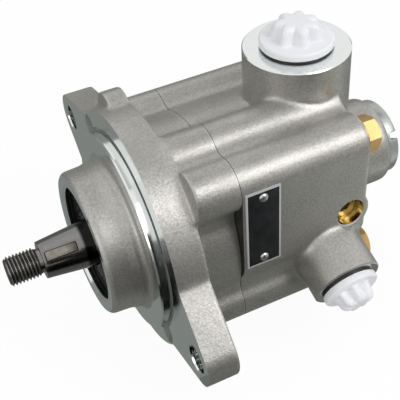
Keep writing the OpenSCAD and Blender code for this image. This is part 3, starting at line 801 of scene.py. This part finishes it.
def front_drilling(bm):
    """Drilled and milled holes of the flange."""
    mouth_r, pocket_r, pocket_at, steps = EAR_HOLE_R + 0.6, 5.4, 44.0, 48
    for side in (0, 180):
        add_lathe(bm, [(0, -3), (mouth_r, -3), (mouth_r, -0.01), (EAR_HOLE_R, 0.6), (EAR_HOLE_R, 16),
                       (0, 16)], shaft_axis(*polar(EAR_ANGLE + side, EAR_SPAN)), 64)
    for place in BOLTS:
        add_lathe(bm, rod(14.5, 33, TAPPED_R), shaft_axis(*polar(*place)), 32)
    for angle in (44, 224):
        cy, cz = polar(angle, pocket_at)
        outline = []
        for i in range(steps):
            a = 2 * math.pi * i / steps
            y, z = cy + pocket_r * math.cos(a), cz + pocket_r * math.sin(a)
            reach = max(1.0, (SPIGOT_R + 0.03) / math.hypot(y, z))
            outline.append((y * reach, z * reach))
        paint(add_prism(bm, outline, -0.6, 5), RECESS)


def nose_foot(points):
    """Region round the foot of the bearing nose."""
    return (points[:, 0] < -2) & (np.hypot(points[:, 1], points[:, 2]) < 38)


front = casting("front_casting", "front_housing", front_stock, [front_turning, front_drilling], 0.66, 20,
                nose_foot)
settle(front, "casing", "cast_aluminium", "front_housing")


def rear_stock(bm):
    """Fills the holes of the rear housing and leaves extra metal on the machined faces."""
    joint_start = JOINT_X - 1.5
    add_joint_stock(bm, "rear_housing", JOINT_X + 6.0, -1, -JOINT_STOCK)
    add_lathe(bm, rod(joint_start, 63.0, 33.6), shaft_axis())
    add_lathe(bm, rod(60.0, 75.0, 11.0), shaft_axis())
    add_lathe(bm, rod(75.0, VALVE_END - 0.05, 10.6), shaft_axis(0, VALVE_Z))
    for place in BOLTS:
        add_lathe(bm, rod(joint_start, REAR_X - 0.05, 4.7), shaft_axis(*polar(*place)), 32)
    add_lathe(bm, rod(40.0, INLET_Z + 1.4, INLET_R), INLET_LINE)
    add_lathe(bm, rod(-14.0, 1.2, OUTLET_R), OUTLET_AXIS)
    add_lathe(bm, rod(24.0, -SIDE_Y, 8.5), GALLERY_AXIS)


def rear_machining(bm):
    """Bores and machined faces of the rear housing."""
    joint, inlet_rim, side = JOINT_X + 0.2, INLET_Z - 0.55, -SIDE_Y
    bore = add_lathe(bm, [(0, 24), (FAR_R, 24), (FAR_R, joint), (JOINT_SEAL_R, joint),
                          (JOINT_SEAL_R, JOINT_SEAL_END), (CARTRIDGE_R, JOINT_SEAL_END),
                          (CARTRIDGE_R, CARTRIDGE_X1), (BUSH_R, CARTRIDGE_X1), (BUSH_R, BUSH_END),
                          (0, BUSH_END)], shaft_axis(), 144)
    # The joint face round the bore takes painted shade
    paint(bore, PAINTED_SHADE, lambda p: abs(p.x - joint * MM) < 1e-5)
    add_lathe(bm, [(0, VALVE_START), (VALVE_R, VALVE_START), (VALVE_R, VALVE_SEAT_X),
                   (VALVE_SEAT_R, VALVE_SEAT_X), (VALVE_SEAT_R, 119), (0, 119)], shaft_axis(0, VALVE_Z), 96)
    add_lathe(bm, [(0, INLET_FLOOR), (INLET_BORE_R, INLET_FLOOR), (INLET_BORE_R, INLET_Z),
                   (INLET_R - 0.4, INLET_Z), (INLET_R + 0.15, inlet_rim), (32, inlet_rim), (32, 66),
                   (0, 66)], INLET_LINE, 144)
    outlet = add_lathe(bm, [(0, -OUTLET_DEPTH), (OUTLET_BORE_R, -OUTLET_DEPTH), (OUTLET_BORE_R, 0),
                            (OUTLET_R - 0.5, 0), (OUTLET_R + 0.2, -0.7), (22, -0.7), (22, 4), (0, 4)],
                       OUTLET_AXIS, 96)
    to_outlet = OUTLET_AXIS.inverted()
    paint(outlet, CAST, lambda p: (to_outlet @ p).xy.length > (OUTLET_R - 0.5) * MM)
    floor = side - GALLERY_DEPTH
    mouth = add_lathe(bm, [(0, floor), (GALLERY_R, floor), (GALLERY_R, side - 0.5),
                           (GALLERY_R + 0.5, side + 0.05), (GALLERY_R + 0.5, side + 3), (0, side + 3)],
                      GALLERY_AXIS, 64)
    paint(mouth, RECESS, lambda p: p.y < (SIDE_Y + 0.6) * MM)


def rear_drilling(bm):
    """Clearance holes of the casing screws."""
    for place in BOLTS:
        add_lathe(bm, rod(27, 100, CLEARANCE_R), shaft_axis(*polar(*place)), 32)


def inlet_foot(points):
    """Region round the foot of the inlet boss."""
    off = np.hypot(points[:, 0] - INLET_X, points[:, 1])
    return (off < INLET_R + 7) & (points[:, 2] > 30)


rear = casting("rear_casting", "rear_housing", rear_stock, [rear_machining, rear_drilling], 0.72, 42,
               inlet_foot)
settle(rear, "casing", "cast_aluminium", "rear_housing")

# Shaft with its cut thread


def shaft_body():
    """Shaft behind the thread, with eased edges."""
    bm = node_bmesh("drive_shaft")
    cut_off(bm, ((THREAD_END - 0.05) * MM, 0, 0), (1, 0, 0))
    bmesh.ops.recalc_face_normals(bm, faces=bm.faces[:])
    return eased("shaft_body", bm, 0.4, "dark_steel", "bright_steel", 35)


def thread_end():
    """Threaded end as a helical surface on the shaft axis, running out before the taper."""
    pitch, major, minor, around, along = 1.4, 5.99, 5.05, 128, 260
    tip_r, runout_r = 4.9, 5.0
    bm = bmesh.new()
    rows = []
    for j in range(along + 1):
        x = THREAD_X0 + (THREAD_END - THREAD_X0) * j / along
        tip = tip_r + (x - THREAD_X0)
        runout = runout_r + (THREAD_END - x) * 0.9
        row = []
        for i in range(around):
            phase = ((x - THREAD_X0) / pitch - i / around) % 1.0
            flank = min(1.0, max(0.0, abs(phase - 0.5) * 2.5 - 0.12))
            radius = min(minor + (major - minor) * flank, tip, runout)
            a = 2 * math.pi * i / around
            row.append(bm.verts.new((x * MM, radius * MM * math.cos(a), radius * MM * math.sin(a))))
        rows.append(row)
    bridge(bm, rows)
    close_end(bm, rows[0], (THREAD_X0 * MM, 0, 0))
    close_end(bm, rows[-1], (THREAD_END * MM, 0, 0))
    return built(bm, "shaft_thread", 60)


body = shaft_body()
settle(body, "shaft", "dark_steel", "drive_shaft")
thread = thread_end()
dress(thread, "thread_steel")
settle(thread, "shaft", "dark_steel")

# Transit plugs and small parts with eased edges


def add_star(bm, axis, radius, foot, top):
    """Adds the seven-lobed grip of a transit plug, narrowing a little to a rounded top."""
    count, lobes, hollow = 168, 7, 0.42
    start = foot - 0.6
    rows = []
    for lift, inset in ((start, 0), (foot, 0), (top - 2.0, 0), (top - 1.1, 0.35), (top - 0.4, 1.1),
                        (top, 2.2)):
        reach = 0.70 - 0.10 * max(0.0, lift - foot) / (top - foot)
        row = []
        for i in range(count):
            a = 2 * math.pi * i / count
            lobe = (0.5 + 0.5 * math.cos(lobes * a)) ** 0.65
            r = radius * (hollow + (reach - hollow) * lobe) - inset
            row.append(bm.verts.new(axis @ Vector((r * math.cos(a) * MM, r * math.sin(a) * MM, lift * MM))))
        rows.append(row)
    bridge(bm, rows)
    close_end(bm, rows[0], axis @ Vector((0, 0, start * MM)))
    close_end(bm, rows[-1], axis @ Vector((0, 0, top * MM)))
    bmesh.ops.recalc_face_normals(bm, faces=bm.faces[:])


def moulded(name, node, axis, lower):
    """Transit plug with the soft edges of a moulding: the node's cap and stem under a grip of its own."""
    cap_top = 3.8
    bm = node_bmesh(node)
    local = [axis.inverted() @ v.co / MM for v in bm.verts]
    top = max(p.z for p in local) - lower
    radius = max(math.hypot(p.x, p.y) for p in local)
    cut_off(bm, axis @ Vector((0, 0, cap_top * MM)), axis.to_3x3() @ Vector((0, 0, -1)))
    add_star(bm, axis, radius, cap_top, top)
    piece = voxel_skin(bm, name, 0.26)
    soften(piece.data, 3, 5)
    return piece


for node, axis, lower in (("inlet_plug", INLET_AXIS, 0.1), ("outlet_plug", OUTLET_AXIS, 0.7)):
    piece = moulded(node + "_moulded", node, axis, lower)
    dress(piece, "white_plastic")
    settle(piece, "casing", slot_of[node], node)

# The shaft key's eased rim takes painted shade, a dark outline round the key
for node, width, label, rim, carrier in (("shaft_key", 0.35, "key_steel", "bore_shade", "shaft"),
                                         ("valve_plug", 0.35, "zinc_steel", None, "casing"),
                                         ("gallery_plug", 0.2, "brass", None, "casing"),
                                         ("nameplate", 0.12, "black_plate", None, "casing")):
    piece = eased(node + "_eased", node_bmesh(node), width, label, rim)
    settle(piece, carrier, slot_of[node], node)

# Screws, washers and rivets, set on points by one node tree


def start_geometry(name, inputs, output):
    """Empty geometry group with typed inputs and one geometry output."""
    tree = bpy.data.node_groups.new(name, "GeometryNodeTree")
    tree.is_modifier = True
    for label, kind in inputs:
        tree.interface.new_socket(name=label, in_out="INPUT", socket_type="NodeSocket" + kind)
    tree.interface.new_socket(name=output, in_out="OUTPUT", socket_type="NodeSocketGeometry")
    return tree, tree.nodes.new("NodeGroupInput").outputs, tree.nodes.new("NodeGroupOutput").inputs


def grown(carrier, tree, values, name, sharp):
    """Plain mesh object that a geometry group grows on a carrier from named values."""
    modifier = carrier.modifiers.new("grow", "NODES")
    modifier.node_group = tree
    for item in tree.interface.items_tree:
        if item.in_out == "INPUT" and item.name in values:
            modifier[item.identifier] = values[item.name]
    return applied(carrier, name, sharp)


def build_set_on_points():
    """Geometry nodes that set one piece on every point of the object's own mesh."""
    inputs = (("Places", "Geometry"), ("Piece", "Object"), ("Turn step", "Float"), ("Finish", "Material"))
    tree, given, out = start_geometry("set_on_points", inputs, "Set")
    points = tree.nodes.new("GeometryNodeMeshToPoints")
    info = tree.nodes.new("GeometryNodeObjectInfo")
    place = tree.nodes.new("GeometryNodeInstanceOnPoints")
    index = tree.nodes.new("GeometryNodeInputIndex")
    angle = tree.nodes.new("ShaderNodeCombineXYZ")
    real = tree.nodes.new("GeometryNodeRealizeInstances")
    coat = tree.nodes.new("GeometryNodeSetMaterial")
    link = tree.links.new
    link(given["Places"], points.inputs["Mesh"])
    link(given["Piece"], info.inputs["Object"])
    link(points.outputs["Points"], place.inputs["Points"])
    link(info.outputs["Geometry"], place.inputs["Instance"])
    link(math_node(tree, "MULTIPLY", index.outputs["Index"], given["Turn step"]), angle.inputs["X"])
    link(angle.outputs[0], place.inputs["Rotation"])
    link(place.outputs["Instances"], real.inputs["Geometry"])
    link(real.outputs["Geometry"], coat.inputs["Geometry"])
    link(given["Finish"], coat.inputs["Material"])
    link(coat.outputs["Geometry"], out["Set"])
    return tree


set_tree = build_set_on_points()


def set_on_points(name, places, unit, label, turn_step, sharp):
    """Plain mesh of one unit at each place, in millimetres."""
    mesh = bpy.data.meshes.new(name)
    mesh.from_pydata([[c * MM for c in p] for p in places], [], [])
    carrier = add_object(name + "_places", mesh)
    values = {"Piece": unit, "Turn step": turn_step, "Finish": finish[label]}
    made = grown(carrier, set_tree, values, name, sharp)
    drop(unit)
    return made


def screw_unit():
    """Hexagon screw along X with its head behind x = 0, chamfered corners, a dished top and a shank."""
    flats, height, dish_r, tip, steps = 13.0, 6.0, 4.6, 0.8, 12
    crown = flats / 2 * 0.95
    angles = [math.radians(60 * k / steps) for k in range(6 * steps)]
    bm = bmesh.new()

    def point(lift, radius, a):
        return bm.verts.new((lift * MM, radius * math.cos(a) * MM, radius * math.sin(a) * MM))

    foot, brow = [], []
    for a in angles:
        reach = flats / 2 / math.cos((a + math.pi / 6) % (math.pi / 3) - math.pi / 6)
        foot.append(point(0, reach, a))
        brow.append(point(height - (reach - crown) * math.tan(math.radians(30)), reach, a))
    top = [point(height, crown, a) for a in angles]
    inner = [point(height, dish_r + 0.5, a) for a in angles]
    dish = [point(height - 0.35, dish_r, a) for a in angles]
    bridge(bm, [foot, brow, top, inner, dish])
    bm.faces.new(dish)
    bm.faces.new(foot)
    add_lathe(bm, [(0, -SCREW_L), (SCREW_R - tip, -SCREW_L), (SCREW_R, tip - SCREW_L), (SCREW_R, 0.2),
                   (0, 0.2)], shaft_axis(), 48)
    return built(bm, "screw_unit", 25)


def washer_unit():
    """Plain washer along X with eased rims."""
    hole, rim, ease = 4.2, 8.0, 0.25
    bm = bmesh.new()
    add_lathe(bm, [(hole, 0), (rim - ease, 0), (rim, ease), (rim, WASHER_T - ease), (rim - ease, WASHER_T),
                   (hole + ease, WASHER_T), (hole, WASHER_T - ease)], shaft_axis(), 64)
    return built(bm, "washer_unit", 40)


def rivet_unit():
    """Round rivet head facing -Y on a thin collar."""
    collar, head, steps = 0.12, 0.98, 8
    bm = bmesh.new()
    profile = [(0, 0), (RIVET_R, 0), (RIVET_R, collar)]
    for i in range(1, steps + 1):
        a = math.radians(90 * i / steps)
        profile.append((1.75 * math.cos(a) if i < steps else 0.0, collar + head * math.sin(a)))
    add_lathe(bm, profile, TO_SIDE, 40)
    return built(bm, "rivet_unit", 50)


bolt_places = [polar(*place) for place in BOLTS]
screws = set_on_points("casing_screws", [(REAR_X + WASHER_T, y, z) for y, z in bolt_places], screw_unit(),
                       "yellow_zinc", math.radians(13), 25)
settle(screws, "casing", "yellow_zinc", "casing_bolts")
washers = set_on_points("screw_washers", [(REAR_X, y, z) for y, z in bolt_places], washer_unit(),
                        "yellow_zinc", 0.0, 35)
settle(washers, "casing", "yellow_zinc", "bolt_washers")
rivet_low, rivet_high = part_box("nameplate_rivets")
rivet_x = (rivet_low[0] + rivet_high[0]) / 2 / MM
rivet_heights = (rivet_low[2] / MM + RIVET_R, rivet_high[2] / MM - RIVET_R)
rivets = set_on_points("plate_rivets", [(rivet_x, rivet_high[1] / MM, z) for z in rivet_heights],
                       rivet_unit(), "bright_steel", 0.0, 50)
settle(rivets, "casing", "bright_steel", "nameplate_rivets")

# Coil spring of the flow valve, held between the valve plug and the spool


def build_wound_wire():
    """Geometry nodes that wind a round wire into a coil."""
    inputs = (("Turns", "Float"), ("Coil radius", "Float"), ("Length", "Float"), ("Wire radius", "Float"),
              ("Finish", "Material"))
    tree, given, out = start_geometry("wound_wire", inputs, "Coil")
    path = tree.nodes.new("GeometryNodeCurveSpiral")
    path.inputs["Resolution"].default_value = 48
    wire = tree.nodes.new("GeometryNodeCurvePrimitiveCircle")
    wire.inputs["Resolution"].default_value = 16
    sweep = tree.nodes.new("GeometryNodeCurveToMesh")
    sweep.inputs["Fill Caps"].default_value = True
    coat = tree.nodes.new("GeometryNodeSetMaterial")
    link = tree.links.new
    link(given["Turns"], path.inputs["Rotations"])
    link(given["Coil radius"], path.inputs["Start Radius"])
    link(given["Coil radius"], path.inputs["End Radius"])
    link(given["Length"], path.inputs["Height"])
    link(given["Wire radius"], wire.inputs["Radius"])
    link(path.outputs["Curve"], sweep.inputs["Curve"])
    link(wire.outputs["Curve"], sweep.inputs["Profile Curve"])
    link(sweep.outputs["Mesh"], coat.inputs["Geometry"])
    link(given["Finish"], coat.inputs["Material"])
    link(coat.outputs["Geometry"], out["Coil"])
    return tree


def wound_spring(name, low, high):
    """Coil along the valve axis between two stations in metres."""
    turns, coil_r, wire_r = 4.0, 4.4 * MM, 0.8 * MM
    carrier = add_object(name + "_path", bpy.data.meshes.new(name + "_path"))
    values = {"Turns": turns, "Coil radius": coil_r, "Length": high - low - 2 * wire_r, "Wire radius": wire_r,
              "Finish": finish["dark_steel"]}
    piece = grown(carrier, build_wound_wire(), values, name, 50)
    piece.data.transform(Matrix.Translation((low + wire_r, 0, 0)) @ shaft_axis(0, VALVE_Z))
    bm = bmesh.new()
    bm.from_mesh(piece.data)
    bmesh.ops.recalc_face_normals(bm, faces=bm.faces[:])
    bm.to_mesh(piece.data)
    bm.free()
    return piece


spring_low, spring_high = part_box("spool_spring")
spring = wound_spring("valve_spring", spring_low[0], spring_high[0])
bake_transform(spring)
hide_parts("spool_spring")

# Camera at the photograph's angle

camera_data = bpy.data.cameras.new("view")
camera_data.lens = 76.5
camera_data.sensor_width = 36.0
camera_data.clip_start = 0.01
camera = bpy.data.objects.new("view", camera_data)
scene.collection.objects.link(camera)
right = Vector((0.89595125, -0.4403067, -0.05832134))
up = Vector((0.32924729, 0.57027982, 0.75258033))
back = Vector((-0.29810667, -0.69347742, 0.6559127))
turn = Matrix((right, up, back)).transposed().to_4x4()
camera.matrix_world = Matrix.Translation((-0.0727, -0.2444, 0.2321)) @ turn
scene.camera = camera

# Floor, glowing cards seen only in reflections, background and lamps, in metres
FLOOR_Z = -0.0506


def make_floor():
    """Pale floor that looks white to the camera and keeps a soft shadow."""
    half = 3.0
    material = bpy.data.materials.new("pale_floor")
    material.use_nodes = True
    tree = material.node_tree
    shader = tree.nodes["Principled BSDF"]
    shader.inputs["Base Color"].default_value = (0.8, 0.8, 0.8, 1)
    shader.inputs["Roughness"].default_value = 0.9
    glow = tree.nodes.new("ShaderNodeEmission")
    glow.inputs["Color"].default_value = (1, 1, 1, 1)
    glow.inputs["Strength"].default_value = 1.02
    blend = tree.nodes.new("ShaderNodeMixShader")
    tree.links.new(math_node(tree, "MULTIPLY", seen_or_mirrored(tree), 0.93), blend.inputs["Fac"])
    tree.links.new(shader.outputs[0], blend.inputs[1])
    tree.links.new(glow.outputs[0], blend.inputs[2])
    tree.links.new(blend.outputs[0], tree.nodes["Material Output"].inputs["Surface"])
    mesh = bpy.data.meshes.new("floor")
    corners = [(-half, -half), (half, -half), (half, half), (-half, half)]
    mesh.from_pydata([(x, y, FLOOR_Z) for x, y in corners], [], [(0, 1, 2, 3)])
    mesh.materials.append(material)
    return add_object("floor", mesh)


make_floor()


def reflector(name, centre, across, upward, colour):
    """Glowing card, hidden from the camera, from shadows and from diffuse light, that paints what reflections
    show.
    """
    mesh = bpy.data.meshes.new(name)
    c, a, b = Vector(centre), Vector(across), Vector(upward)
    mesh.from_pydata([c - a - b, c + a - b, c + a + b, c - a + b], [], [(0, 1, 2, 3)])
    material = bpy.data.materials.new(name)
    material.use_nodes = True
    shader = material.node_tree.nodes["Principled BSDF"]
    shader.inputs["Base Color"].default_value = (0, 0, 0, 1)
    shader.inputs["Specular IOR Level"].default_value = 0.0
    shader.inputs["Emission Color"].default_value = (*colour, 1)
    shader.inputs["Emission Strength"].default_value = 1.0
    mesh.materials.append(material)
    card = add_object(name, mesh)
    card.visible_camera = False
    card.visible_shadow = False
    card.visible_diffuse = False


def floor_card(name, x, y, lift, half_x, half_y, colour):
    """Glowing card lying just above the floor, seen only in reflections."""
    reflector(name, (x, y, FLOOR_Z + lift), (half_x, 0, 0), (0, half_y, 0), colour)


# Painted reflections: glowing cards in greys and near black that the metal surfaces mirror
floor_card("floor_back", 0.0, 0.75, 0.0003, 1.5, 0.795, (0.235, 0.252, 0.237))
floor_card("floor_near", -0.69, -0.09, 0.0003, 0.81, 0.045, (0.155, 0.167, 0.153))
floor_card("floor_far", 0.01, -0.82, 0.0003, 0.19, 0.685, (0.02, 0.02, 0.02))
floor_card("floor_left", -0.84, -0.82, 0.0003, 0.66, 0.685, (0.42, 0.43, 0.415))
floor_card("floor_right", 0.82, -0.15, 0.0005, 0.72, 0.075, (0.43, 0.465, 0.42))
floor_card("floor_wide", 0.85, -0.865, 0.0004, 0.65, 0.64, (0.38, 0.39, 0.37))
floor_card("floor_shaft", -0.038, -0.105, 0.0006, 0.040, 0.052, (0.004, 0.004, 0.004))
reflector("back_card", (0.0, 1.2, 0.28), (1.6, 0, 0), (0, 0, 0.33), (0.3, 0.305, 0.297))
reflector("over_card", (0.33, 0.235, 1.0), (0.28, 0, 0), (0, 0.385, 0), (0.40, 0.405, 0.39))
reflector("front_card", (0.02, -0.75, 0.13), (0.22, 0, 0), (0, -0.05, 0.19), (0.012, 0.012, 0.012))
reflector("front_left", (-0.80, -0.76, 0.13), (0.60, 0, 0), (0, -0.05, 0.19), (0.5, 0.5, 0.49))
reflector("front_right", (0.84, -0.76, 0.13), (0.60, 0, 0), (0, -0.05, 0.19), (0.6, 0.6, 0.585))
reflector("front_top", (0.075, -0.78, 0.385), (0.195, 0, 0), (0, -0.02, 0.085), (0.012, 0.012, 0.012))

world = bpy.data.worlds.new("studio")
scene.world = world
world.use_nodes = True
sky_tree = world.node_tree
sky = sky_tree.nodes["Background"]
sky.inputs["Color"].default_value = (1, 1, 1, 1)
sky_strength = math_node(sky_tree, "MULTIPLY_ADD", seen_or_mirrored(sky_tree), 0.36, 0.64)
sky_tree.links.new(sky_strength, sky.inputs["Strength"])


def softbox(name, place, target, width, height, watts):
    """Rectangular lamp aimed at a point."""
    data = bpy.data.lights.new(name, "AREA")
    data.shape = "RECTANGLE"
    data.size = width
    data.size_y = height
    data.energy = watts
    lamp = bpy.data.objects.new(name, data)
    lamp.location = place
    aim = Vector(target) - Vector(place)
    lamp.rotation_euler = aim.to_track_quat("-Z", "Y").to_euler()
    scene.collection.objects.link(lamp)


softbox("key_light", (0.33, -0.42, 0.47), (0.05, 0, 0), 0.24, 0.34, 1.1)
softbox("strip_light", (0.15, -0.42, 0.47), (0.0, 0, 0), 0.08, 0.34, 0.2)
softbox("top_light", (0.05, 0.15, 0.7), (0.03, 0, 0), 0.45, 0.45, 0.12)
softbox("left_light", (-0.65, -0.2, 0.14), (-0.01, 0, 0), 0.25, 0.4, 0.5)

scene.view_settings.view_transform = "Standard"
